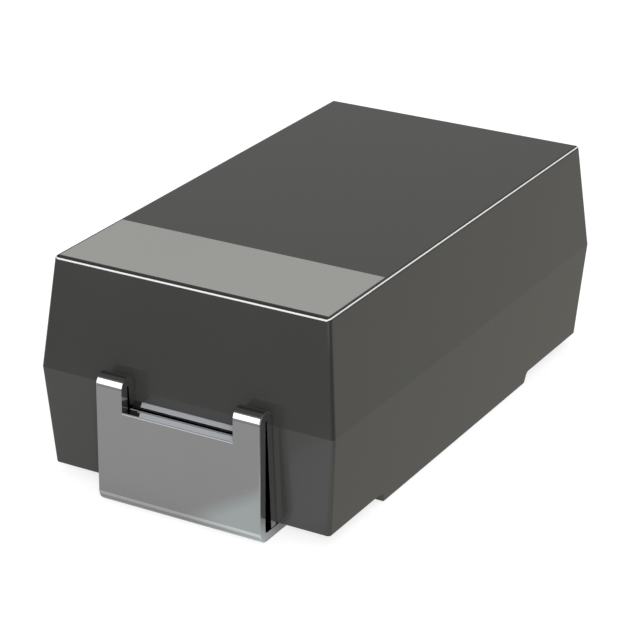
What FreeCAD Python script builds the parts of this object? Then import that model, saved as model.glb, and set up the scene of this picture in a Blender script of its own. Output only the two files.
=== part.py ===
import FreeCAD, Part
import math
import os
import Sketcher

# Moulded chip tantalum capacitor, EIA 7343 size class. Millimetres, +Z up.
# The origin is on the seating plane, under the middle of the part. The anode end
# with the polarity band is at -X and the cathode end is at +X.

SIZES = {
    # Moulded case, measured at the parting line between the two mould halves
    "case_length": 7.07,
    "case_width": 4.06,
    "parting_height": 1.45,
    "top_rise": 1.43,
    "upper_draft": 5.8,
    "lower_draft": 4.2,
    "case_edge_radius": 0.05,
    "bottom_edge_radius": 0.02,
    # Standing block in the middle of the underside, and the gap left over each foot
    "block_standoff": 0.005,
    "block_half_length": 1.97,
    "block_shift": 0.12,
    "block_end_lean": 0.06,
    "block_root_radius": 0.06,
    "foot_gap": 0.025,
    # Polarity band printed across the top at the anode end
    "band_length": 1.34,
    "band_depth": 0.02,
    # Folded terminal sheet, the same at both ends
    "terminal_width": 2.26,
    "terminal_offset": 0.09,
    "sheet_thickness": 0.12,
    "sheet_edge_radius": 0.015,
    "foot_length": 1.3,
    "foot_bend_radius": 0.16,
    "hairpin_rise": 0.1,
    "hairpin_inner_radius": 0.016,
    "leg_end_gap": 0.02,
    "leg_gap": 0.004,
    # Window cut through the fold and through the plate in front of it. Both sills are
    # measured down from the parting line, and the cut reaches well past the sheet.
    "window_width": 1.53,
    "plate_sill_drop": 0.178,
    "leg_sill_drop": 0.138,
    "window_reach": 0.6,
    # Tab that runs from the sill of each window into the case, from the case's end
    "tab_width": 1.3,
    "anode_tab_reach": 1.175,
    "cathode_step_reach": 0.485,
    "paddle_reach": 2.035,
    # Sintered tantalum pellet with its two coats, and the walls of the case round it
    "anode_room": 1.735,
    "cathode_room": 0.835,
    "side_room": 0.58,
    "pellet_height": 1.7,
    "pellet_edge_radius": 0.12,
    "graphite_thickness": 0.03,
    "silver_thickness": 0.04,
    "adhesive_thickness": 0.05,
    "adhesive_inset": 0.12,
    # Riser wire pressed into the pellet and sunk into the anode tab
    "wire_diameter": 0.38,
    "wire_sink": 0.03,
    "wire_room": 0.455,
    "wire_embedded": 1.2,
    "washer_diameter": 1.1,
    "washer_thickness": 0.14,
}

# Two measures closer than this, in millimetres, count as the same
SAME = 1e-4

document = FreeCAD.newDocument("tantalum_capacitor")
sheet = document.addObject("Spreadsheet::Sheet", "Sizes")
for row, (alias, value) in enumerate(SIZES.items(), 1):
    sheet.set(f"A{row}", alias)
    sheet.set(f"B{row}", str(value))
    sheet.setAlias(f"B{row}", alias)
document.recompute()


def bound(text):
    """Return an expression with every size name pointing at the sheet."""
    words = text.replace("(", "( ").replace(")", " )").split()
    return " ".join("Sizes." + word if word in SIZES else word for word in words)


def add_body(name, label):
    """Return a new PartDesign body carrying the label of its node."""
    body = document.addObject("PartDesign::Body", name)
    body.Label = label
    return body


def add_sketch(body, name, role, offset=None):
    """Return a sketch on an origin plane of the body, moved along its normal."""
    plane = next(item for item in body.Origin.OriginFeatures if item.Role == role)
    sketch = body.newObject("Sketcher::SketchObject", name)
    sketch.AttachmentSupport = [(plane, "")]
    sketch.MapMode = "FlatFace"
    if offset:
        sketch.setExpression("AttachmentOffset.Base.z", bound(offset))
    return sketch


def constrain(sketch, kind, *terms, size=None, start=None):
    """Add one constraint and bind its value to an expression of sizes."""
    values = terms if size is None else (*terms, start)
    index = sketch.addConstraint(Sketcher.Constraint(kind, *values))
    if size is not None:
        sketch.setExpression(f"Constraints[{index}]", bound(size))
    return index


def add_outline(sketch, corners):
    """Draw a closed outline whose corners are given as pairs of expressions."""
    count = len(corners)
    spots = [FreeCAD.Vector(math.cos(math.tau * i / count), math.sin(math.tau * i / count), 0)
             for i in range(count)]
    for i in range(count):
        sketch.addGeometry(Part.LineSegment(spots[i], spots[(i + 1) % count]), False)
    for i in range(count):
        constrain(sketch, "Coincident", i, 2, (i + 1) % count, 1)
    for i, (across, along) in enumerate(corners):
        constrain(sketch, "DistanceX", -1, 1, i, 1, size=across, start=spots[i].x)
        constrain(sketch, "DistanceY", -1, 1, i, 1, size=along, start=spots[i].y)


def add_feature(body, kind, name, sketch, length, **settings):
    """Add a pad or pocket of the sketch with its length bound to sizes."""
    feature = body.newObject(f"PartDesign::{kind}", name)
    feature.Profile = sketch
    feature.setExpression("Length", bound(length))
    for setting, value in settings.items():
        setattr(feature, setting, value)
    sketch.Visibility = False
    return feature


def add_fillet(body, name, base, edges, radius):
    """Round the given edges of the base feature."""
    fillet = body.newObject("PartDesign::Fillet", name)
    fillet.Base = (base, edges)
    fillet.setExpression("Radius", bound(radius))
    return fillet


def pick_edges(shape, test):
    """Return the names of the edges of the shape that pass the test."""
    return [f"Edge{number}" for number, edge in enumerate(shape.Edges, 1) if test(edge)]


# Moulded case: two drafted halves that meet at a plain parting line
case = add_body("CaseBody", "case_outer_form")
parting = add_sketch(case, "PartingOutline", "XY_Plane", "parting_height")
add_outline(parting, [
    ("- case_length / 2", "- case_width / 2"),
    ("case_length / 2", "- case_width / 2"),
    ("case_length / 2", "case_width / 2"),
    ("- case_length / 2", "case_width / 2"),
])
document.recompute()
upper_half = add_feature(case, "Pad", "UpperHalf", parting, "top_rise")
upper_half.setExpression("TaperAngle", bound("- upper_draft"))
document.recompute()
lower_half = add_feature(case, "Pad", "LowerHalf", parting,
                         "parting_height - block_standoff", Reversed=True)
lower_half.setExpression("TaperAngle", bound("- lower_draft"))
document.recompute()

# Each end of the underside is raised, which leaves the standing block in the middle
RECESS_LEVEL = "sheet_thickness + foot_gap"
for side, sign in (("Anode", "-"), ("Cathode", "+")):
    recess = add_sketch(case, f"{side}Recess", "XZ_Plane")
    block_end = f"- block_shift {sign} block_half_length"
    add_outline(recess, [
        (block_end, "block_standoff"),
        (block_end, "- sheet_thickness"),
        (f"{sign} case_length", "- sheet_thickness"),
        (f"{sign} case_length", RECESS_LEVEL),
        (f"{block_end} {sign} block_end_lean", RECESS_LEVEL),
    ])
    document.recompute()
    before = case.Shape.Volume
    add_feature(case, "Pocket", f"{side}RecessCut", recess, "case_width", Midplane=True)
    document.recompute()
    if case.Shape.Volume >= before:
        raise RuntimeError(f"{side} recess removes nothing")


def size(alias):
    """Return the plain number that the sheet holds for a size."""
    return float(sheet.get(alias))


def is_root_edge(edge):
    """Tell whether an edge is a corner between the block's end and the recess."""
    level = size("sheet_thickness") + size("foot_gap")
    box = edge.BoundBox
    inboard = size("case_length") / 2 - size("foot_length") / 2
    return (box.ZLength < SAME and abs(box.ZMin - level) < SAME
            and box.XLength < SAME and abs(box.XMin) < inboard)


def is_upper_edge(edge):
    """Tell whether an edge is round the top or stands at a corner of the case."""
    box = edge.BoundBox
    at_top = box.ZMin > size("parting_height") + SAME
    upright = box.ZLength > size("case_edge_radius") * 4
    return at_top or upright


def is_bottom_edge(edge):
    """Tell whether an edge is on the outside of the underside."""
    return edge.BoundBox.ZMax < size("parting_height") / 2 and not is_root_edge(edge)


root = add_fillet(case, "BlockRoot", case.Tip, pick_edges(case.Tip.Shape, is_root_edge),
                  "block_root_radius")
document.recompute()
upper = add_fillet(case, "UpperEdges", root, pick_edges(root.Shape, is_upper_edge),
                   "case_edge_radius")
document.recompute()
add_fillet(case, "BottomEdges", upper, pick_edges(upper.Shape, is_bottom_edge),
           "bottom_edge_radius")
document.recompute()


def add_folded_profile(sketch, end):
    """Draw the side view of one sheet folded up the end and over into a hairpin.

    The sketch lies in the XZ plane. The sheet starts at the tip of the foot, turns up
    into the outer plate, folds over and comes back down against the case. The end is
    -1 for the anode and 1 for the cathode.
    """
    sign = "- " if end < 0 else ""
    lean = math.radians(size("lower_draft"))
    thick = size("sheet_thickness")
    bend = size("foot_bend_radius")
    rest = size("case_length") / 2 + size("leg_gap")
    rise = size("hairpin_rise")
    fold_z = size("parting_height") + rise
    fold = size("hairpin_inner_radius") + thick
    fold_x = rest + rise * math.tan(lean) + fold / math.cos(lean)
    front = fold_x + fold
    tip = front - size("foot_length")
    leg_bottom = thick + size("leg_end_gap")

    def spot(x, z):
        return FreeCAD.Vector(end * x, z, 0)

    def on_arc(centre_x, centre_z, radius, angle):
        return spot(centre_x + radius * math.cos(angle), centre_z + radius * math.sin(angle))

    def arc(centre_x, centre_z, radius, first, last):
        middle = (first + last) / 2
        turn = (first, middle, last)
        return Part.Arc(*(on_arc(centre_x, centre_z, radius, angle) for angle in turn))

    def line(first, last):
        return Part.LineSegment(first, last)

    bend_x = front - bend
    outward = math.pi - lean
    leg_top = on_arc(fold_x, fold_z, fold, outward)
    leg_inner_top = on_arc(fold_x, fold_z, fold - thick, outward)
    drop = leg_top.y - leg_bottom
    slide = FreeCAD.Vector(-end * drop * math.tan(lean), -drop, 0)
    parts = [
        line(spot(tip, 0), spot(bend_x, 0)),
        arc(bend_x, bend, bend, -math.pi / 2, 0),
        line(spot(front, bend), spot(front, fold_z)),
        arc(fold_x, fold_z, fold, 0, outward),
        line(leg_top, leg_top + slide),
        line(leg_top + slide, leg_inner_top + slide),
        line(leg_inner_top + slide, leg_inner_top),
        arc(fold_x, fold_z, fold - thick, outward, 0),
        line(spot(front - thick, fold_z), spot(front - thick, bend)),
        arc(bend_x, bend, bend - thick, 0, -math.pi / 2),
        line(spot(bend_x, thick), spot(tip, thick)),
        line(spot(tip, thick), spot(tip, 0)),
    ]
    for item in parts:
        sketch.addGeometry(item, False)
    foot, heel, plate, hairpin, leg, leg_end, leg_face, inner_hairpin, plate_back, \
        inner_heel, foot_top, foot_tip = range(len(parts))
    curved = {heel, hairpin, inner_hairpin, inner_heel}

    def near_end(item, point):
        """Return which end of the drawn item lies nearest to the point."""
        gaps = [sketch.getPoint(item, which).distanceToPoint(point) for which in (1, 2)]
        return 1 + gaps.index(min(gaps))

    corners = [
        spot(bend_x, 0), spot(front, bend), spot(front, fold_z), leg_top, leg_top + slide,
        leg_inner_top + slide, leg_inner_top, spot(front - thick, fold_z),
        spot(front - thick, bend), spot(bend_x, thick), spot(tip, thick), spot(tip, 0),
    ]
    for item, point in enumerate(corners):
        after = (item + 1) % len(parts)
        kind = "Tangent" if item in curved or after in curved else "Coincident"
        constrain(sketch, kind, item, near_end(item, point), after, near_end(after, point))
    constrain(sketch, "Coincident", heel, 3, inner_heel, 3)
    constrain(sketch, "Coincident", hairpin, 3, inner_hairpin, 3)
    constrain(sketch, "Horizontal", foot)
    constrain(sketch, "Vertical", plate)
    constrain(sketch, "Vertical", plate_back)
    constrain(sketch, "Vertical", foot_tip)
    constrain(sketch, "Horizontal", foot_top)
    constrain(sketch, "Perpendicular", leg, leg_end)
    constrain(sketch, "Parallel", leg, leg_face)
    constrain(sketch, "PointOnObject", foot, 1, -1)
    constrain(sketch, "Radius", inner_hairpin,
              size="hairpin_inner_radius", start=fold - thick)
    constrain(sketch, "DistanceX", foot, 1, plate, near_end(plate, spot(front, bend)),
              size=f"{sign}foot_length", start=end * (front - tip))
    constrain(sketch, "DistanceY", -1, 1, foot_top, near_end(foot_top, spot(tip, thick)),
              size="sheet_thickness", start=thick)
    constrain(sketch, "Radius", heel, size="foot_bend_radius", start=bend)
    constrain(sketch, "DistanceY", -1, 1, hairpin, 3,
              size="parting_height + hairpin_rise", start=fold_z)
    constrain(sketch, "DistanceY", -1, 1, leg, near_end(leg, leg_top + slide),
              size="sheet_thickness + leg_end_gap", start=leg_bottom)

    # The back of the leg follows the drafted end of the case, a small gap away from it
    guide = sketch.addGeometry(line(spot(rest, size("parting_height")), leg_top), True)
    constrain(sketch, "DistanceX", -1, 1, guide, 1,
              size=f"{sign}( case_length / 2 + leg_gap )", start=end * rest)
    constrain(sketch, "DistanceY", -1, 1, guide, 1,
              size="parting_height", start=size("parting_height"))
    constrain(sketch, "Coincident", guide, 2, leg, near_end(leg, leg_top))
    constrain(sketch, "Parallel", guide, leg)
    lean_sign = "" if end < 0 else "- "
    constrain(sketch, "Angle", -2, 1, guide, 1, size=f"{lean_sign}lower_draft", start=-end * lean)


def is_outer_rim(edge):
    """Tell whether an edge runs along the outer skin of the fold, on either side.

    The outer skin is the foot's underside, the heel, the plate's front and the hairpin.
    """
    box = edge.BoundBox
    inside_fold = size("case_length") / 2 + size("leg_gap") + 2 * size("sheet_thickness")
    heel = size("foot_bend_radius")
    crown = size("parting_height") + size("hairpin_rise")
    along_foot = box.ZMax < SAME
    along_front = box.XLength < SAME and abs(box.XMin) > inside_fold
    heel_arc = box.ZMin < SAME and abs(box.ZMax - heel) < SAME
    hairpin_arc = abs(box.ZMin - crown) < SAME and box.ZLength > size("sheet_thickness") / 2
    return box.YLength < SAME and (along_foot or along_front or heel_arc or hairpin_arc)


LEG_SILL = "parting_height - leg_sill_drop"
WIRE_AXIS = f"( {LEG_SILL} + wire_diameter / 2 - wire_sink )"
PELLET_FACE = "( anode_room - case_length / 2 )"
PELLET_LENGTH = "( case_length - anode_room - cathode_room )"
COATS = "( graphite_thickness + silver_thickness )"

terminals = {}
for side, end in (("Anode", -1), ("Cathode", 1)):
    sign = "- " if end < 0 else ""
    body = add_body(f"{side}Terminal", f"{side.lower()}_terminal")
    terminals[side] = body
    profile = add_sketch(body, f"{side}Fold", "XZ_Plane", "terminal_offset")
    add_folded_profile(profile, end)
    document.recompute()
    folded = add_feature(body, "Pad", f"{side}Sheet", profile, "terminal_width", Midplane=True)
    document.recompute()
    rim = pick_edges(folded.Shape, is_outer_rim)
    add_fillet(body, f"{side}Rim", folded, rim, "sheet_edge_radius")
    document.recompute()

    # The window leaves two straps and two bare cut edges, one behind the other
    window = add_sketch(body, f"{side}Window", "XZ_Plane", "terminal_offset")
    step = f"{sign}( case_length / 2 + leg_gap + sheet_thickness + hairpin_inner_radius / 2 )"
    outside = f"{sign}( case_length / 2 + window_reach )"
    inside = f"{sign}( case_length / 2 - sheet_thickness )"
    add_outline(window, [
        (outside, "parting_height - plate_sill_drop"),
        (step, "parting_height - plate_sill_drop"),
        (step, LEG_SILL),
        (inside, LEG_SILL),
        (inside, "parting_height + top_rise"),
        (outside, "parting_height + top_rise"),
    ])
    document.recompute()
    before = body.Shape.Volume
    add_feature(body, "Pocket", f"{side}WindowCut", window, "window_width", Midplane=True)
    document.recompute()
    if body.Shape.Volume >= before:
        raise RuntimeError(f"{side} window removes nothing")

    # The tab is the sheet out of the window, bent level and led into the case
    tab = add_sketch(body, f"{side}Tab", "XZ_Plane", "terminal_offset")
    start = f"{sign}( case_length / 2 + sheet_thickness / 2 )"
    under = f"{LEG_SILL} - sheet_thickness"
    if side == "Anode":
        tab_end = "anode_tab_reach - case_length / 2"
        tab_corners = [
            (start, under),
            (start, LEG_SILL),
            (tab_end, LEG_SILL),
            (tab_end, under),
        ]
    else:
        step_outer = "case_length / 2 - cathode_step_reach"
        step_inner = f"{step_outer} - sheet_thickness"
        paddle_end = "case_length / 2 - paddle_reach"
        paddle_top = f"{WIRE_AXIS} - pellet_height / 2 - {COATS} - adhesive_thickness"
        paddle_under = f"{paddle_top} - sheet_thickness"
        tab_corners = [
            (start, under),
            (start, LEG_SILL),
            (step_inner, LEG_SILL),
            (step_inner, paddle_top),
            (paddle_end, paddle_top),
            (paddle_end, paddle_under),
            (step_outer, paddle_under),
            (step_outer, under),
        ]
    add_outline(tab, tab_corners)
    document.recompute()
    add_feature(body, "Pad", f"{side}TabSheet", tab, "tab_width", Midplane=True)
    document.recompute()

# The riser wire lies in a shallow groove that welding leaves in the anode tab
WIRE_END = "( case_length / 2 - wire_room )"
groove = add_sketch(terminals["Anode"], "WireGroove", "YZ_Plane")


def add_circle(sketch, across, along, diameter):
    """Draw one circle whose centre and diameter are bound to sizes."""
    circle = sketch.addGeometry(Part.Circle(FreeCAD.Vector(0, 1, 0), FreeCAD.Vector(0, 0, 1), 1))
    constrain(sketch, "DistanceX", -1, 1, circle, 3, size=across, start=0)
    constrain(sketch, "DistanceY", -1, 1, circle, 3, size=along, start=1)
    constrain(sketch, "Diameter", circle, size=diameter, start=2)


add_circle(groove, "- terminal_offset", WIRE_AXIS, "wire_diameter")
document.recompute()
before = terminals["Anode"].Shape.Volume
add_feature(terminals["Anode"], "Pocket", "WireGrooveCut", groove, WIRE_END)
document.recompute()
if terminals["Anode"].Shape.Volume >= before:
    raise RuntimeError("the wire's groove removes nothing")

wire = add_body("RiserWire", "riser_wire")
section = add_sketch(wire, "WireSection", "YZ_Plane", f"- {WIRE_END}")
add_circle(section, "- terminal_offset", WIRE_AXIS, "wire_diameter")
document.recompute()
add_feature(wire, "Pad", "WireLength", section,
            f"{WIRE_END} + {PELLET_FACE} + wire_embedded")
document.recompute()


def add_block_form(name, label, growth):
    """Add the pellet's form grown by its coats on every side but the anode face."""
    body = add_body(name, label)
    sketch = add_sketch(body, f"{name}Section", "YZ_Plane", PELLET_FACE)
    wide = f"( case_width / 2 - side_room + {growth} )"
    high = f"( pellet_height / 2 + {growth} )"
    add_outline(sketch, [
        (f"- terminal_offset - {wide}", f"{WIRE_AXIS} - {high}"),
        (f"- terminal_offset + {wide}", f"{WIRE_AXIS} - {high}"),
        (f"- terminal_offset + {wide}", f"{WIRE_AXIS} + {high}"),
        (f"- terminal_offset - {wide}", f"{WIRE_AXIS} + {high}"),
    ])
    document.recompute()
    block = add_feature(body, "Pad", f"{name}Length", sketch, f"{PELLET_LENGTH} + {growth}")
    document.recompute()
    face = size("anode_room") - size("case_length") / 2
    rounded = pick_edges(block.Shape, lambda edge: edge.BoundBox.XMax > face + SAME)
    add_fillet(body, f"{name}Edges", block, rounded, f"pellet_edge_radius + {growth}")
    document.recompute()
    return body


pellet_form = add_block_form("PelletForm", "pellet_form", "0")
graphite_form = add_block_form("GraphiteForm", "graphite_form", "graphite_thickness")
silver_form = add_block_form("SilverForm", "silver_form", COATS)


def add_cut(name, label, base, tool):
    """Add a boolean cut of two objects under the label of its node."""
    cut = document.addObject("Part::Cut", name)
    cut.Label = label
    cut.Base = base
    cut.Tool = tool
    return cut


pellet = add_cut("TantalumPellet", "tantalum_pellet", pellet_form, wire)
graphite = add_cut("GraphiteCoat", "graphite_coat", graphite_form, pellet_form)
silver = add_cut("SilverCoat", "silver_coat", silver_form, graphite_form)

# Insulating washer on the wire, against the bare anode face of the pellet
disc = document.addObject("Part::Cylinder", "WasherDisc")
disc.setExpression("Radius", bound("washer_diameter / 2"))
disc.setExpression("Height", bound("washer_thickness"))
disc.Placement.Rotation = FreeCAD.Rotation(FreeCAD.Vector(0, 1, 0), 90)
disc.setExpression("Placement.Base.x", bound(f"{PELLET_FACE} - washer_thickness"))
disc.setExpression("Placement.Base.y", bound("- terminal_offset"))
disc.setExpression("Placement.Base.z", bound(WIRE_AXIS))
washer = add_cut("InsulatingWasher", "insulating_washer", disc, wire)

# Silver adhesive between the silver coat and the cathode's paddle
adhesive = document.addObject("Part::Box", "SilverAdhesive")
adhesive.Label = "silver_adhesive"
adhesive.setExpression("Length", bound(
    "paddle_reach - cathode_room - pellet_edge_radius - adhesive_inset"))
adhesive.setExpression("Width", bound("tab_width - 2 * adhesive_inset"))
adhesive.setExpression("Height", bound("adhesive_thickness"))
adhesive.setExpression("Placement.Base.x", bound(
    "case_length / 2 - paddle_reach + adhesive_inset"))
adhesive.setExpression("Placement.Base.y", bound(
    "- terminal_offset - tab_width / 2 + adhesive_inset"))
adhesive.setExpression("Placement.Base.z", bound(
    f"{WIRE_AXIS} - pellet_height / 2 - {COATS} - adhesive_thickness"))

# Polarity band: a thin field set flush in the flat top
band = document.addObject("Part::Box", "PolarityBand")
band.Label = "polarity_band"
shrink = "( top_rise * tan( upper_draft ) + case_edge_radius )"
band.setExpression("Length", bound("band_length"))
band.setExpression("Width", bound(f"case_width - 2 * {shrink}"))
band.setExpression("Height", bound("band_depth"))
band.setExpression("Placement.Base.x", bound(f"- case_length / 2 + {shrink}"))
band.setExpression("Placement.Base.y", bound(f"- case_width / 2 + {shrink}"))
band.setExpression("Placement.Base.z", bound("parting_height + top_rise - band_depth"))
document.recompute()

# The case is moulded round everything that it holds
held = document.addObject("Part::MultiFuse", "HeldPieces")
held.Shapes = [silver_form, wire, disc, adhesive, band, *terminals.values()]
moulded = add_cut("MouldedCase", "moulded_case", case, held)
document.recompute()

NODES = [moulded, band, *terminals.values(), pellet, wire, washer, graphite, silver, adhesive]
for item in document.Objects:
    if {"Invalid", "Error"} & set(item.State):
        raise RuntimeError(f"{item.Label} did not recompute: {item.State}")
for node in NODES:
    if node.Shape.isNull() or not node.Shape.isValid() or len(node.Shape.Solids) != 1:
        raise RuntimeError(f"{node.Label} is not one valid solid")

os.makedirs("parts", exist_ok=True)
for node in NODES:
    node.Shape.exportStep(f"parts/{node.Label}.step")
    print(node.Label, round(node.Shape.Volume, 4))
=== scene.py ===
import math
import bpy
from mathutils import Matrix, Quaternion, Vector

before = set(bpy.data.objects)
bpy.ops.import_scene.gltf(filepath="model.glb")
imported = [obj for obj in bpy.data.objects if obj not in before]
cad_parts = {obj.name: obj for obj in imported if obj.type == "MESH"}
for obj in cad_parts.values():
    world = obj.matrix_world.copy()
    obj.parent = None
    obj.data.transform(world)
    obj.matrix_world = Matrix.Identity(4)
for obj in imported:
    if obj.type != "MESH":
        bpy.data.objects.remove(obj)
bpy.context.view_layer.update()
print("stage: packed model loaded")

scene = bpy.context.scene
scene.view_settings.view_transform = "Standard"
mm = 0.001

# camera, at the place that the photograph was taken from
camera = {
    "location": (-26.0010 * mm, -14.4769 * mm, 14.0651 * mm),
    "turnDegrees": (66.9273, -0.1136, -59.6566),
    "lens": 141.598,
    "shiftX": 0.0582,
    "shiftY": -0.0227,
}

cameraData = bpy.data.cameras.new("photoCamera")
cameraData.lens = camera["lens"]
cameraData.shift_x = camera["shiftX"]
cameraData.shift_y = camera["shiftY"]
cameraData.clip_start = 1 * mm
cameraData.clip_end = 2.0
cameraObject = bpy.data.objects.new("photoCamera", cameraData)
cameraObject.location = camera["location"]
cameraObject.rotation_euler = [math.radians(angle) for angle in camera["turnDegrees"]]
scene.collection.objects.link(cameraObject)
scene.camera = cameraObject
print("stage: camera placed")


# small helpers for shader nodes
def startMaterial(name):
    material = bpy.data.materials.new(name)
    material.use_nodes = True
    nodes = material.node_tree.nodes
    nodes.clear()
    output = nodes.new("ShaderNodeOutputMaterial")
    output.location = (600, 0)
    return material, nodes, material.node_tree.links, output


def startPrincipled(name, settings):
    material, nodes, links, output = startMaterial(name)
    shader = nodes.new("ShaderNodeBsdfPrincipled")
    shader.location = (250, 0)
    for socket, value in settings.items():
        shader.inputs[socket].default_value = value
    links.new(shader.outputs["BSDF"], output.inputs["Surface"])
    return material, nodes, links, shader


def addNode(nodes, kind, place, settings=None, values=None):
    node = nodes.new(kind)
    node.location = place
    for setting, value in (settings or {}).items():
        setattr(node, setting, value)
    for socket, value in (values or {}).items():
        node.inputs[socket].default_value = value
    return node


def addBand(nodes, links, value, middle, reach, soft, place):
    # 1 within the reach of the middle, 0 outside it
    off = addNode(nodes, "ShaderNodeMath", place, {"operation": "SUBTRACT"}, {1: middle})
    away = addNode(nodes, "ShaderNodeMath", (place[0] + 160, place[1]), {"operation": "ABSOLUTE"})
    band = addNode(nodes, "ShaderNodeMapRange", (place[0] + 320, place[1]), None,
                   {"From Min": reach + soft, "From Max": reach})
    links.new(value, off.inputs[0])
    links.new(off.outputs[0], away.inputs[0])
    links.new(away.outputs[0], band.inputs["Value"])
    return band.outputs[0]


def addMath(nodes, links, operation, first, second, place):
    node = addNode(nodes, "ShaderNodeMath", place, {"operation": operation})
    for socket, term in ((0, first), (1, second)):
        if isinstance(term, (int, float)):
            node.inputs[socket].default_value = term
        else:
            links.new(term, node.inputs[socket])
    return node.outputs[0]


# shared effect: the fine unevenness that every surface has
def makeUnevenGroup():
    group = bpy.data.node_groups.new("unevenSurface", "ShaderNodeTree")
    face = group.interface
    for name, kind, start in (
        ("Colour", "NodeSocketColor", (0.5, 0.5, 0.5, 1)),
        ("Colour Spread", "NodeSocketFloat", 0.1),
        ("Roughness", "NodeSocketFloat", 0.4),
        ("Roughness Spread", "NodeSocketFloat", 0.1),
        ("Grains Per Mm", "NodeSocketFloat", 10.0),
        ("Patches Per Mm", "NodeSocketFloat", 0.8),
        ("Stretch", "NodeSocketVector", (1, 1, 1)),
    ):
        face.new_socket(name, in_out="INPUT", socket_type=kind).default_value = start
    for name, kind in (
        ("Colour", "NodeSocketColor"),
        ("Roughness", "NodeSocketFloat"),
        ("Height", "NodeSocketFloat"),
    ):
        face.new_socket(name, in_out="OUTPUT", socket_type=kind)
    nodes, links = group.nodes, group.links
    given = addNode(nodes, "NodeGroupInput", (-900, 0))
    made = addNode(nodes, "NodeGroupOutput", (700, 0))
    place = addNode(nodes, "ShaderNodeTexCoord", (-1100, 200))
    inMm = addNode(nodes, "ShaderNodeVectorMath", (-900, 250), {"operation": "SCALE"},
                   {"Scale": 1 / mm})
    multiplied = addNode(nodes, "ShaderNodeVectorMath", (-700, 250), {"operation": "MULTIPLY"})
    grain = addNode(nodes, "ShaderNodeTexNoise", (-500, 250), None,
                    {"Detail": 4.0, "Roughness": 0.6})
    patch = addNode(nodes, "ShaderNodeTexNoise", (-500, -50), None,
                    {"Detail": 2.0, "Roughness": 0.5})
    links.new(place.outputs["Object"], inMm.inputs[0])
    links.new(inMm.outputs[0], multiplied.inputs[0])
    links.new(given.outputs["Stretch"], multiplied.inputs[1])
    links.new(multiplied.outputs[0], grain.inputs["Vector"])
    links.new(inMm.outputs[0], patch.inputs["Vector"])
    links.new(given.outputs["Grains Per Mm"], grain.inputs["Scale"])
    links.new(given.outputs["Patches Per Mm"], patch.inputs["Scale"])

    def centred(source, spread, at):
        shifted = addNode(nodes, "ShaderNodeMath", at, {"operation": "SUBTRACT"}, {1: 0.5})
        scaled = addNode(nodes, "ShaderNodeMath", (at[0] + 170, at[1]), {"operation": "MULTIPLY"})
        links.new(source, shifted.inputs[0])
        links.new(shifted.outputs[0], scaled.inputs[0])
        links.new(spread, scaled.inputs[1])
        return scaled.outputs[0]

    both = addNode(nodes, "ShaderNodeMath", (-300, 100), {"operation": "ADD"})
    links.new(grain.outputs["Fac"], both.inputs[0])
    links.new(patch.outputs["Fac"], both.inputs[1])
    half = addNode(nodes, "ShaderNodeMath", (-150, 100), {"operation": "MULTIPLY"}, {1: 0.5})
    links.new(both.outputs[0], half.inputs[0])
    tone = addNode(nodes, "ShaderNodeMath", (250, 200), {"operation": "ADD"}, {1: 1.0})
    links.new(centred(half.outputs[0], given.outputs["Colour Spread"], (-100, 260)),
              tone.inputs[0])
    colour = addNode(nodes, "ShaderNodeVectorMath", (450, 200), {"operation": "SCALE"})
    links.new(given.outputs["Colour"], colour.inputs[0])
    links.new(tone.outputs[0], colour.inputs["Scale"])
    links.new(colour.outputs[0], made.inputs["Colour"])
    rough = addNode(nodes, "ShaderNodeMath", (450, 0), {"operation": "ADD"})
    links.new(centred(patch.outputs["Fac"], given.outputs["Roughness Spread"], (-100, -60)),
              rough.inputs[0])
    links.new(given.outputs["Roughness"], rough.inputs[1])
    links.new(rough.outputs[0], made.inputs["Roughness"])
    links.new(grain.outputs["Fac"], made.inputs["Height"])
    return group


unevenGroup = makeUnevenGroup()


# shared effect: where the surface turns over an edge or a bend, 0 on every flat face
edgeShape = {"flat": 0.985, "turned": 0.93, "ragged": 0.02, "raggedPerMm": 9, "raggedDetail": 3.0}


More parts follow.
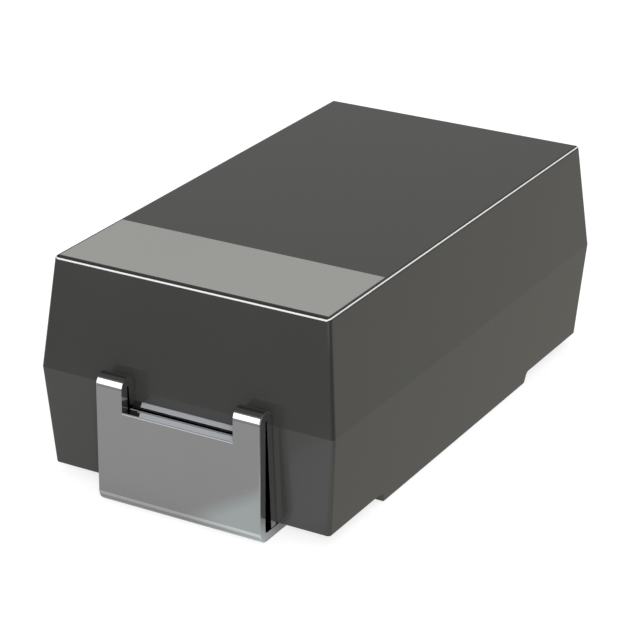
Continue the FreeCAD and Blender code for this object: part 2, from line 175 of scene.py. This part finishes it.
def makeEdgeGroup():
    group = bpy.data.node_groups.new("roundedEdge", "ShaderNodeTree")
    face = group.interface
    raggedSocket = face.new_socket("Ragged", in_out="INPUT", socket_type="NodeSocketFloat")
    raggedSocket.default_value = edgeShape["ragged"]
    face.new_socket("Edge", in_out="OUTPUT", socket_type="NodeSocketFloat")
    nodes, links = group.nodes, group.links
    given = addNode(nodes, "NodeGroupInput", (-900, -200))
    made = addNode(nodes, "NodeGroupOutput", (600, 0))
    shape = addNode(nodes, "ShaderNodeNewGeometry", (-900, 100))
    away = addNode(nodes, "ShaderNodeVectorMath", (-700, 100), {"operation": "ABSOLUTE"})
    parts = addNode(nodes, "ShaderNodeSeparateXYZ", (-500, 100))
    first = addNode(nodes, "ShaderNodeMath", (-300, 150), {"operation": "MAXIMUM"})
    second = addNode(nodes, "ShaderNodeMath", (-100, 100), {"operation": "MAXIMUM"})
    place = addNode(nodes, "ShaderNodeTexCoord", (-900, -400))
    noise = addNode(nodes, "ShaderNodeTexNoise", (-700, -350), None,
                    {"Scale": edgeShape["raggedPerMm"] / mm,
                     "Detail": edgeShape["raggedDetail"]})
    centred = addNode(nodes, "ShaderNodeMath", (-500, -300), {"operation": "SUBTRACT"}, {1: 0.5})
    ragged = addNode(nodes, "ShaderNodeMath", (-300, -200), {"operation": "MULTIPLY_ADD"})
    edge = addNode(nodes, "ShaderNodeMapRange", (300, 0), None,
                   {"From Min": edgeShape["flat"], "From Max": edgeShape["turned"]})
    links.new(shape.outputs["Normal"], away.inputs[0])
    links.new(away.outputs[0], parts.inputs[0])
    links.new(parts.outputs["X"], first.inputs[0])
    links.new(parts.outputs["Y"], first.inputs[1])
    links.new(first.outputs[0], second.inputs[0])
    links.new(parts.outputs["Z"], second.inputs[1])
    links.new(place.outputs["Object"], noise.inputs["Vector"])
    links.new(noise.outputs["Fac"], centred.inputs[0])
    links.new(centred.outputs[0], ragged.inputs[0])
    links.new(given.outputs["Ragged"], ragged.inputs[1])
    links.new(second.outputs[0], ragged.inputs[2])
    links.new(ragged.outputs[0], edge.inputs["Value"])
    links.new(edge.outputs[0], made.inputs["Edge"])
    return group


edgeGroup = makeEdgeGroup()


def addUneven(nodes, links, shader, look):
    uneven = addNode(nodes, "ShaderNodeGroup", (-350, 0), {"node_tree": unevenGroup})
    for socket, key in (
        ("Colour", "colour"),
        ("Colour Spread", "colourSpread"),
        ("Roughness", "roughness"),
        ("Roughness Spread", "roughnessSpread"),
        ("Grains Per Mm", "grainsPerMm"),
        ("Patches Per Mm", "patchesPerMm"),
        ("Stretch", "stretch"),
    ):
        uneven.inputs[socket].default_value = look[key]
    bump = addNode(nodes, "ShaderNodeBump", (50, -250), None,
                   {"Strength": look["bump"], "Distance": look["bumpMm"] * mm})
    links.new(uneven.outputs["Height"], bump.inputs["Height"])
    links.new(uneven.outputs["Colour"], shader.inputs["Base Color"])
    links.new(uneven.outputs["Roughness"], shader.inputs["Roughness"])
    links.new(bump.outputs["Normal"], shader.inputs["Normal"])
    return uneven


def addEdgeWearAndShade(nodes, links, shader, uneven, look):
    # edges rub smoother than the faces and take a tone of their own, worn print or wear on most
    # finishes; on the epoxy the darker edge tone is painted shade
    edge = addNode(nodes, "ShaderNodeGroup", (-350, -400), {"node_tree": edgeGroup})
    edgeWearAndShade = addNode(nodes, "ShaderNodeMapRange", (-150, -400), None,
                     {"To Min": 1.0, "To Max": look["edgeWearAndShadeTone"]})
    toned = addNode(nodes, "ShaderNodeVectorMath", (-150, 150), {"operation": "SCALE"})
    smoother = addNode(nodes, "ShaderNodeMix", (-150, -100), {"data_type": "FLOAT"},
                       {3: look["edgeRoughness"]})
    links.new(edge.outputs["Edge"], edgeWearAndShade.inputs["Value"])
    links.new(edge.outputs["Edge"], smoother.inputs[0])
    links.new(uneven.outputs["Roughness"], smoother.inputs[2])
    links.new(uneven.outputs["Colour"], toned.inputs[0])
    links.new(edgeWearAndShade.outputs[0], toned.inputs["Scale"])
    links.new(toned.outputs[0], shader.inputs["Base Color"])
    links.new(smoother.outputs[0], shader.inputs["Roughness"])
    return toned.outputs[0], smoother.outputs[0]


def colourOf(red, green, blue):
    return (red, green, blue, 1.0)


# moulded epoxy of the case: near black, slightly glossy; painted light on it: the lower half
# painted paler, painted shade on the rounded edges and a painted highlight on the top's rim
epoxyLook = {
    "colour": colourOf(0.0462, 0.0456, 0.0437), "colourSpread": 0.2,
    # an edge tone below 1 paints shade on the epoxy's rounded edges
    "roughness": 0.15, "roughnessSpread": 0.05, "edgeRoughness": 0.07, "edgeWearAndShadeTone": 0.7,
    "grainsPerMm": 26.0, "patchesPerMm": 0.7, "stretch": (1, 1, 1),
    "bump": 0.04, "bumpMm": 0.004,
    "partingMm": 1.45, "partingSoftMm": 0.003, "lowerHalfPaintedLight": 1.225,
    "rimHighlightColour": colourOf(0.82, 0.82, 0.82), "rimFromMm": 2.8,
    "rimTilt": -0.5, "rimUp": 0.37, "rimReach": 0.15, "rimSoft": 0.03,
}
epoxy, nodes, links, shader = startPrincipled("mouldedEpoxy", {"Specular IOR Level": 0.4})
uneven = addUneven(nodes, links, shader, epoxyLook)
edgeShadedColour, _ = addEdgeWearAndShade(nodes, links, shader, uneven, epoxyLook)
place = addNode(nodes, "ShaderNodeTexCoord", (-800, 300))
spot = addNode(nodes, "ShaderNodeSeparateXYZ", (-600, 300))
# painted light: faces below the parting line are painted paler than those above it
half = addNode(nodes, "ShaderNodeMapRange", (-350, 300), None,
               {"From Min": (epoxyLook["partingMm"] + epoxyLook["partingSoftMm"]) * mm,
                "From Max": (epoxyLook["partingMm"] - epoxyLook["partingSoftMm"]) * mm})
paintedLowerLight = addNode(nodes, "ShaderNodeVectorMath", (-150, 300), {"operation": "SCALE"},
               {"Scale": epoxyLook["lowerHalfPaintedLight"]})
lowerHalfPaintedMix = addNode(nodes, "ShaderNodeMix", (50, 250), {"data_type": "RGBA"})
links.new(place.outputs["Object"], spot.inputs[0])
links.new(spot.outputs["Z"], half.inputs["Value"])
links.new(uneven.outputs["Colour"], paintedLowerLight.inputs[0])
links.new(half.outputs[0], lowerHalfPaintedMix.inputs[0])
links.new(edgeShadedColour, lowerHalfPaintedMix.inputs[6])
links.new(paintedLowerLight.outputs[0], lowerHalfPaintedMix.inputs[7])
# painted highlight: the rounded rim of the top is painted pale
shape = addNode(nodes, "ShaderNodeNewGeometry", (-800, 600))
turned = addNode(nodes, "ShaderNodeSeparateXYZ", (-600, 600))
aside = addMath(nodes, links, "ABSOLUTE", turned.outputs["Y"], 0, (-750, 750))
tilt = addMath(nodes, links, "MULTIPLY_ADD", aside, epoxyLook["rimTilt"], (-600, 750))
links.new(turned.outputs["Z"], tilt.node.inputs[2])
rimHighlight = addBand(nodes, links, tilt, epoxyLook["rimUp"], epoxyLook["rimReach"],
              epoxyLook["rimSoft"], (-450, 600))
high = addMath(nodes, links, "GREATER_THAN", spot.outputs["Z"], epoxyLook["rimFromMm"] * mm,
               (-350, 450))
rimHighlight = addMath(nodes, links, "MULTIPLY", rimHighlight, high, (0, 500))
rimHighlightMix = addNode(nodes, "ShaderNodeMix", (150, 350), {"data_type": "RGBA"},
                 {7: epoxyLook["rimHighlightColour"]})
links.new(shape.outputs["Normal"], turned.inputs[0])
links.new(rimHighlight, rimHighlightMix.inputs[0])
links.new(lowerHalfPaintedMix.outputs[2], rimHighlightMix.inputs[6])
links.new(rimHighlightMix.outputs[2], shader.inputs["Base Color"])

# light grey print of the polarity band
bandLook = {
    "colour": colourOf(0.323, 0.323, 0.308), "colourSpread": 0.12,
    "roughness": 0.3, "roughnessSpread": 0.1, "edgeRoughness": 0.2, "edgeWearAndShadeTone": 0.85,
    "grainsPerMm": 22.0, "patchesPerMm": 0.5, "stretch": (1, 1, 1),
    "bump": 0.1, "bumpMm": 0.004,
}
bandPrint, nodes, links, shader = startPrincipled("bandPrint", {"Specular IOR Level": 0.3})
uneven = addUneven(nodes, links, shader, bandLook)
addEdgeWearAndShade(nodes, links, shader, uneven, bandLook)

# bright tin over the formed sheet of both terminals
tinLook = {
    "colour": colourOf(0.365, 0.37, 0.365), "colourSpread": 0.08,
    "roughness": 0.08, "roughnessSpread": 0.05, "edgeRoughness": 0.1, "edgeWearAndShadeTone": 1.0,
    "grainsPerMm": 9.0, "patchesPerMm": 1.1, "stretch": (1.0, 1.0, 0.25),
    "bump": 0.12, "bumpMm": 0.003,
}
# where the sheet is cut, and the painted highlights and shade on the tin: up, turn and on are
# parts of the surface's direction
tinCutAndPaintedLight = {
    "colour": colourOf(0.56, 0.58, 0.62), "roughness": 0.5, "metallic": 0.1,
    "levelMm": 1.292, "reachMm": 0.035, "reachSoftMm": 0.002, "sillUp": 0.99,
    "shadeFromMm": 2.345, "shadeSlant": -0.5,
    "edgeHighlightMm": 1.252, "edgeHighlightReachMm": 0.004, "edgeHighlightSoftMm": 0.003,
    "windowMiddleMm": -0.09, "windowHalfMm": 0.765,
    "squareOn": 0.9, "side": 0.1,
    "bend": 1.6, "bendTurn": -0.16, "bendReach": 0.09, "bendSoft": 0.06,
    "under": 1.04, "underFrom": -0.3, "underTo": -0.4,
    "crestHighlight": 2.2, "crestUp": 0.41, "crestReach": 0.3, "crestSoft": 0.03,
}
tin, nodes, links, shader = startPrincipled("brightTin", {})
uneven = addUneven(nodes, links, shader, tinLook)
plated, even = addEdgeWearAndShade(nodes, links, shader, uneven, tinLook)
place = addNode(nodes, "ShaderNodeTexCoord", (-1500, -500))
spot = addNode(nodes, "ShaderNodeSeparateXYZ", (-1300, -500))
shape = addNode(nodes, "ShaderNodeNewGeometry", (-1500, -800))
turned = addNode(nodes, "ShaderNodeSeparateXYZ", (-1300, -800))
links.new(place.outputs["Object"], spot.inputs[0])
links.new(shape.outputs["Normal"], turned.inputs[0])
# the bare sheet on both sills of the window, dull and paler than the plating
sillLevel = addBand(nodes, links, spot.outputs["Z"], tinCutAndPaintedLight["levelMm"] * mm,
                    tinCutAndPaintedLight["reachMm"] * mm, tinCutAndPaintedLight["reachSoftMm"] * mm, (-1100, -500))
facingUp = addMath(nodes, links, "GREATER_THAN", turned.outputs["Z"], tinCutAndPaintedLight["sillUp"],
                   (-1100, -700))
# painted shade: the pale sill is left out behind a slanted line beside the left strap, where that
# strap darkens it
slanted = addMath(nodes, links, "MULTIPLY_ADD", spot.outputs["X"], tinCutAndPaintedLight["shadeSlant"],
                  (-1250, -850))
links.new(spot.outputs["Y"], slanted.node.inputs[2])
clear = addMath(nodes, links, "LESS_THAN", slanted, tinCutAndPaintedLight["shadeFromMm"] * mm,
                (-1100, -850))
sill = addMath(nodes, links, "MULTIPLY", sillLevel, facingUp, (-600, -550))
sill = addMath(nodes, links, "MULTIPLY", sill, clear, (-450, -550))
# and a painted highlight: a thin pale line on the plate's front just below the lower sill
edgeHighlightLevel = addBand(nodes, links, spot.outputs["Z"], tinCutAndPaintedLight["edgeHighlightMm"] * mm,
                   tinCutAndPaintedLight["edgeHighlightReachMm"] * mm, tinCutAndPaintedLight["edgeHighlightSoftMm"] * mm, (-1100, -1200))
across = addMath(nodes, links, "ABSOLUTE", turned.outputs["X"], 0, (-1100, -1350))
facingOut = addMath(nodes, links, "GREATER_THAN", across, tinCutAndPaintedLight["squareOn"], (-950, -1350))
windowSpan = addBand(nodes, links, spot.outputs["Y"], tinCutAndPaintedLight["windowMiddleMm"] * mm,
                     tinCutAndPaintedLight["windowHalfMm"] * mm, tinCutAndPaintedLight["reachSoftMm"] * mm,
                     (-1100, -1500))
edgeHighlightLine = addMath(nodes, links, "MULTIPLY", edgeHighlightLevel, facingOut, (-600, -1200))
edgeHighlightLine = addMath(nodes, links, "MULTIPLY", edgeHighlightLine, windowSpan, (-450, -1200))
sill = addMath(nodes, links, "MAXIMUM", sill, edgeHighlightLine, (-300, -1100))
# the cut sides of the sheet are bare in places
aside = addMath(nodes, links, "ABSOLUTE", turned.outputs["Y"], 0, (-1100, -1000))
facingSide = addMath(nodes, links, "GREATER_THAN", aside, tinCutAndPaintedLight["squareOn"], (-950, -1000))
cut = addMath(nodes, links, "MULTIPLY", facingSide, tinCutAndPaintedLight["side"], (-600, -1000))
# the bare sheet and the painted highlight line both take the pale dull finish
bareAndHighlight = addMath(nodes, links, "MAXIMUM", sill, cut, (-300, -700))
# painted highlight on the heel: the tin is painted paler where the bend begins, and a little
# paler where it faces down
bendStart = addBand(nodes, links, turned.outputs["Z"], tinCutAndPaintedLight["bendTurn"],
                    tinCutAndPaintedLight["bendReach"], tinCutAndPaintedLight["bendSoft"], (-1100, -1450))
paintedTinHighlight = addMath(nodes, links, "MULTIPLY_ADD", bendStart, tinCutAndPaintedLight["bend"] - 1,
                  (-600, -1400))
paintedTinHighlight.node.inputs[2].default_value = 1.0
beneath = addNode(nodes, "ShaderNodeMapRange", (-600, -1750), None,
                  {"From Min": tinCutAndPaintedLight["underFrom"], "From Max": tinCutAndPaintedLight["underTo"],
                   "To Min": 1.0, "To Max": tinCutAndPaintedLight["under"]})
links.new(turned.outputs["Z"], beneath.inputs["Value"])
paintedTinHighlight = addMath(nodes, links, "MULTIPLY", paintedTinHighlight, beneath.outputs[0], (-400, -1500))
# painted highlight: the crest of each hairpin is painted bright
crestHighlight = addBand(nodes, links, turned.outputs["Z"], tinCutAndPaintedLight["crestUp"],
                tinCutAndPaintedLight["crestReach"], tinCutAndPaintedLight["crestSoft"], (-1100, -1900))
paintedCrestHighlight = addMath(nodes, links, "MULTIPLY_ADD", crestHighlight, tinCutAndPaintedLight["crestHighlight"] - 1,
                    (-600, -1900))
paintedCrestHighlight.node.inputs[2].default_value = 1.0
paintedTinHighlight = addMath(nodes, links, "MULTIPLY", paintedTinHighlight, paintedCrestHighlight, (-250, -1600))
# the tin's colour times the painted highlights on heel and crest
multiplied = addNode(nodes, "ShaderNodeVectorMath", (-100, 250), {"operation": "SCALE"})
colour = addNode(nodes, "ShaderNodeMix", (60, 250), {"data_type": "RGBA"},
                 {7: tinCutAndPaintedLight["colour"]})
dull = addNode(nodes, "ShaderNodeMix", (60, 50), {"data_type": "FLOAT"},
               {3: tinCutAndPaintedLight["roughness"]})
metal = addNode(nodes, "ShaderNodeMix", (60, -100), {"data_type": "FLOAT"},
                {2: 1.0, 3: tinCutAndPaintedLight["metallic"]})
links.new(plated, multiplied.inputs[0])
links.new(paintedTinHighlight, multiplied.inputs["Scale"])
links.new(bareAndHighlight, colour.inputs[0])
links.new(multiplied.outputs[0], colour.inputs[6])
links.new(bareAndHighlight, dull.inputs[0])
links.new(even, dull.inputs[2])
links.new(bareAndHighlight, metal.inputs[0])
links.new(colour.outputs[2], shader.inputs["Base Color"])
links.new(dull.outputs[0], shader.inputs["Roughness"])
links.new(metal.outputs[0], shader.inputs["Metallic"])

# finishes of the sealed pieces inside
innerLooks = {
    "sinteredTantalum": {
        "shader": {"Metallic": 0.35},
        "colour": colourOf(0.11, 0.11, 0.12), "colourSpread": 0.5,
        "roughness": 0.75, "roughnessSpread": 0.2,
        "edgeRoughness": 0.6, "edgeWearAndShadeTone": 1.2,
        "grainsPerMm": 30.0, "patchesPerMm": 1.5, "stretch": (1, 1, 1),
        "bump": 0.6, "bumpMm": 0.012,
    },
    "tantalumWire": {
        "shader": {"Metallic": 1.0},
        "colour": colourOf(0.36, 0.37, 0.40), "colourSpread": 0.2,
        "roughness": 0.32, "roughnessSpread": 0.12,
        "edgeRoughness": 0.25, "edgeWearAndShadeTone": 1.1,
        "grainsPerMm": 30.0, "patchesPerMm": 1.0, "stretch": (0.05, 1, 1),
        "bump": 0.3, "bumpMm": 0.004,
    },
    "whitePolymer": {
        "shader": {},
        "colour": colourOf(0.80, 0.80, 0.78), "colourSpread": 0.08,
        "roughness": 0.5, "roughnessSpread": 0.1,
        "edgeRoughness": 0.4, "edgeWearAndShadeTone": 1.05,
        "grainsPerMm": 14.0, "patchesPerMm": 1.0, "stretch": (1, 1, 1),
        "bump": 0.2, "bumpMm": 0.004,
    },
    "graphiteDip": {
        "shader": {},
        "colour": colourOf(0.028, 0.028, 0.029), "colourSpread": 0.5,
        "roughness": 0.7, "roughnessSpread": 0.15,
        "edgeRoughness": 0.5, "edgeWearAndShadeTone": 1.4,
        "grainsPerMm": 20.0, "patchesPerMm": 1.2, "stretch": (1, 1, 1),
        "bump": 0.5, "bumpMm": 0.008,
    },
    "silverPaint": {
        "shader": {"Metallic": 0.8},
        "colour": colourOf(0.60, 0.60, 0.58), "colourSpread": 0.3,
        "roughness": 0.5, "roughnessSpread": 0.2,
        "edgeRoughness": 0.4, "edgeWearAndShadeTone": 1.15,
        "grainsPerMm": 24.0, "patchesPerMm": 1.5, "stretch": (1, 1, 1),
        "bump": 0.5, "bumpMm": 0.008,
    },
}
innerMaterials = {}
for name, look in innerLooks.items():
    material, nodes, links, shader = startPrincipled(name, look["shader"])
    uneven = addUneven(nodes, links, shader, look)
    addEdgeWearAndShade(nodes, links, shader, uneven, look)
    innerMaterials[name] = material
print("stage: materials made")

finishes = {
    "moulded_case": epoxy,
    "polarity_band": bandPrint,
    "anode_terminal": tin,
    "cathode_terminal": tin,
    "tantalum_pellet": innerMaterials["sinteredTantalum"],
    "riser_wire": innerMaterials["tantalumWire"],
    "insulating_washer": innerMaterials["whitePolymer"],
    "graphite_coat": innerMaterials["graphiteDip"],
    "silver_coat": innerMaterials["silverPaint"],
    "silver_adhesive": innerMaterials["silverPaint"],
}
for node, material in finishes.items():
    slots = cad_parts[node].data.materials
    slots.clear()
    slots.append(material)
print("stage: packed pieces finished")


# floor, world, lamps and cards
studio = {
    "floorSize": 400 * mm,
    "floorLevel": -0.004 * mm,
    "floorColour": colourOf(0.4, 0.4, 0.4),
    "floorSeen": 0.75,
    "floorMirrored": 0.285,
    "worldLevel": 0.55,
    "worldMirrored": 0.135,
}
# lamps light the surfaces only: place and aim in mm, size in mm and level
lamps = {
    "cameraKey": {"place": (-75, -42, 48), "aim": (0, 0, 1), "size": (40, 40), "level": 10.0},
    "topFill": {"place": (5, 0, 90), "aim": (0, 0, 1), "size": (50, 50), "level": 2.2},
}
# cards are what the surfaces mirror: place in mm, the way they face, size, tone and soft rim
cards = {
    "leftPanel": {"place": (-74.7, 46.7, 31.8), "facing": (72, -45, -30), "size": (84, 72.5),
                  "tone": 1.7, "soft": 2.0},
    "rightPanel": {"place": (80, -50, 27), "facing": (-80, 50, 20), "size": (60, 34),
                   "tone": 1.2, "soft": 2.0},
    "backCard": {"place": (60, 34, 29), "facing": (-60, -34, -29), "size": (60, 50),
                 "tone": 0.39, "soft": 4.0},
    "farCard": {"place": (-13, 10, 0.02), "facing": (0, 0, 1), "size": (12, 60),
                "tone": 0.28, "soft": 1.0},
    "horizonCard": {"place": (-48, 24, 0.03), "facing": (0, 0, 1), "size": (60, 70),
                    "tone": 1.7, "soft": 1.0},
    "sideCard": {"place": (11.4, -12.8, 0.02), "facing": (0, 0, 1), "size": (30, 17.6),
                 "tone": 0.615, "soft": 0.3, "colour": colourOf(1.0, 0.98, 0.86)},
    "nearCard": {"place": (11.4, -2.8, 0.02), "facing": (0, 0, 1), "size": (30, 2.4),
                 "tone": 0.485, "soft": 0.1, "colour": colourOf(1.0, 0.98, 0.86)},
    "edgeCard": {"place": (-10, -13, 0.02), "facing": (0, 0, 1), "size": (14, 20),
                 "tone": 0.02, "soft": 1.0},
    "glintCard": {"place": (-4.66, -1.27, 0.03), "facing": (0, 0, 1), "turnDegrees": 22.6,
                  "size": (2.4, 1.9), "tone": 0.98, "soft": 0.4,
                  "colour": colourOf(0.92, 0.98, 1.0)},
}


def addLevelByRay(nodes, links, place, seen, mirrored, other):
    # one level where the camera looks, one where a surface mirrors, one for light
    path = addNode(nodes, "ShaderNodeLightPath", (place[0] - 600, place[1]))
    passed = addNode(nodes, "ShaderNodeMath", (place[0] - 400, place[1]),
                     {"operation": "MAXIMUM"})
    inner = addNode(nodes, "ShaderNodeMix", (place[0] - 200, place[1]),
                    {"data_type": "FLOAT"}, {2: other, 3: mirrored})
    outer = addNode(nodes, "ShaderNodeMix", place, {"data_type": "FLOAT"}, {3: seen})
    links.new(path.outputs["Is Glossy Ray"], passed.inputs[0])
    links.new(path.outputs["Is Transmission Ray"], passed.inputs[1])
    links.new(passed.outputs[0], inner.inputs[0])
    links.new(path.outputs["Is Camera Ray"], outer.inputs[0])
    links.new(inner.outputs[0], outer.inputs[2])
    return outer.outputs[0]


def makePlane(name, wide, high):
    wide, high = wide / 2, high / 2
    mesh = bpy.data.meshes.new(name)
    mesh.from_pydata([(-wide, -high, 0), (wide, -high, 0), (wide, high, 0), (-wide, high, 0)],
                     [], [(0, 1, 2, 3)])
    plane = bpy.data.objects.new(name, mesh)
    scene.collection.objects.link(plane)
    material, nodes, links, output = startMaterial(name)
    mesh.materials.append(material)
    return plane, nodes, links, output


def makeFloor():
    floor, nodes, links, output = makePlane("floor", studio["floorSize"], studio["floorSize"])
    floor.location.z = studio["floorLevel"]
    # the world lights the underside too, which a camera below the floor sees through it
    floor.visible_diffuse = floor.visible_shadow = False
    matt = addNode(nodes, "ShaderNodeBsdfDiffuse", (0, 150), None,
                   {"Color": studio["floorColour"]})
    glow = addNode(nodes, "ShaderNodeEmission", (0, -50), None, {"Color": colourOf(1, 1, 1)})
    level = addLevelByRay(nodes, links, (-200, -100), studio["floorSeen"],
                          studio["floorMirrored"], 0.0)
    both = addNode(nodes, "ShaderNodeAddShader", (300, 0))
    links.new(level, glow.inputs["Strength"])
    links.new(matt.outputs[0], both.inputs[0])
    links.new(glow.outputs[0], both.inputs[1])
    facing = addNode(nodes, "ShaderNodeNewGeometry", (0, 350))
    through = addNode(nodes, "ShaderNodeBsdfTransparent", (150, -200))
    mix = addNode(nodes, "ShaderNodeMixShader", (450, 0))
    links.new(facing.outputs["Backfacing"], mix.inputs[0])
    links.new(both.outputs[0], mix.inputs[1])
    links.new(through.outputs[0], mix.inputs[2])
    links.new(mix.outputs[0], output.inputs["Surface"])


def makeWorld():
    world = bpy.data.worlds.new("whiteStudio")
    scene.world = world
    world.use_nodes = True
    nodes, links = world.node_tree.nodes, world.node_tree.links
    nodes.clear()
    output = addNode(nodes, "ShaderNodeOutputWorld", (400, 0))
    light = addNode(nodes, "ShaderNodeBackground", (200, 0), None,
                    {"Color": colourOf(1, 1, 1)})
    level = addLevelByRay(nodes, links, (0, 0), 1.0, studio["worldMirrored"],
                          studio["worldLevel"])
    links.new(level, light.inputs["Strength"])
    links.new(light.outputs[0], output.inputs["Surface"])


def makeLamp(name, look):
    data = bpy.data.lights.new(name, "AREA")
    data.shape = "RECTANGLE"
    data.size, data.size_y = look["size"][0] * mm, look["size"][1] * mm
    data.energy = look["level"] * math.pi * data.size * data.size_y
    lamp = bpy.data.objects.new(name, data)
    lamp.location = Vector(look["place"]) * mm
    aim = Vector(look["aim"]) * mm - lamp.location
    lamp.rotation_euler = aim.to_track_quat("-Z", "Y").to_euler()
    lamp.visible_glossy = False
    scene.collection.objects.link(lamp)


def makeCard(name, look):
    wide, high = (side * mm for side in look["size"])
    card, nodes, links, output = makePlane(name, wide, high)
    card.location = Vector(look["place"]) * mm
    facing = Vector(look["facing"]).to_track_quat("Z", "Y")
    turned = Quaternion((0, 0, 1), math.radians(look.get("turnDegrees", 0)))
    card.rotation_euler = (facing @ turned).to_euler()
    card.visible_camera = card.visible_diffuse = card.visible_shadow = False
    tone = addNode(nodes, "ShaderNodeEmission", (200, 100), None,
                   {"Color": look.get("colour", colourOf(1, 1, 1))})
    # full tone in a first reflection, at most 1 in a reflection of a reflection
    path = addNode(nodes, "ShaderNodeLightPath", (-350, 250))
    first = addNode(nodes, "ShaderNodeMath", (-170, 250), {"operation": "LESS_THAN"}, {1: 1.5})
    level = addNode(nodes, "ShaderNodeMix", (20, 250), {"data_type": "FLOAT"},
                    {2: min(look["tone"], 1.0), 3: look["tone"]})
    links.new(path.outputs["Glossy Depth"], first.inputs[0])
    links.new(first.outputs[0], level.inputs[0])
    links.new(level.outputs[0], tone.inputs["Strength"])
    through = addNode(nodes, "ShaderNodeBsdfTransparent", (200, -50))
    mix = addNode(nodes, "ShaderNodeMixShader", (400, 0))
    spot = addNode(nodes, "ShaderNodeTexCoord", (-700, 0))
    away = addNode(nodes, "ShaderNodeVectorMath", (-520, 0), {"operation": "ABSOLUTE"})
    parts = addNode(nodes, "ShaderNodeSeparateXYZ", (-350, 0))
    links.new(spot.outputs["Object"], away.inputs[0])
    links.new(away.outputs[0], parts.inputs[0])
    fades = []
    for part, side in (("X", wide), ("Y", high)):
        fade = addNode(nodes, "ShaderNodeMapRange", (-170, 0), None,
                       {"From Min": side / 2, "From Max": side / 2 - look["soft"] * mm})
        links.new(parts.outputs[part], fade.inputs["Value"])
        fades.append(fade.outputs[0])
    mask = addNode(nodes, "ShaderNodeMath", (20, 0), {"operation": "MULTIPLY"})
    links.new(fades[0], mask.inputs[0])
    links.new(fades[1], mask.inputs[1])
    links.new(mask.outputs[0], mix.inputs[0])
    links.new(through.outputs[0], mix.inputs[1])
    links.new(tone.outputs[0], mix.inputs[2])
    links.new(mix.outputs[0], output.inputs["Surface"])


makeFloor()
makeWorld()
for name, look in cards.items():
    makeCard(name, look)
for name, look in lamps.items():
    makeLamp(name, look)
print("stage: floor, world, cards and lamps made")
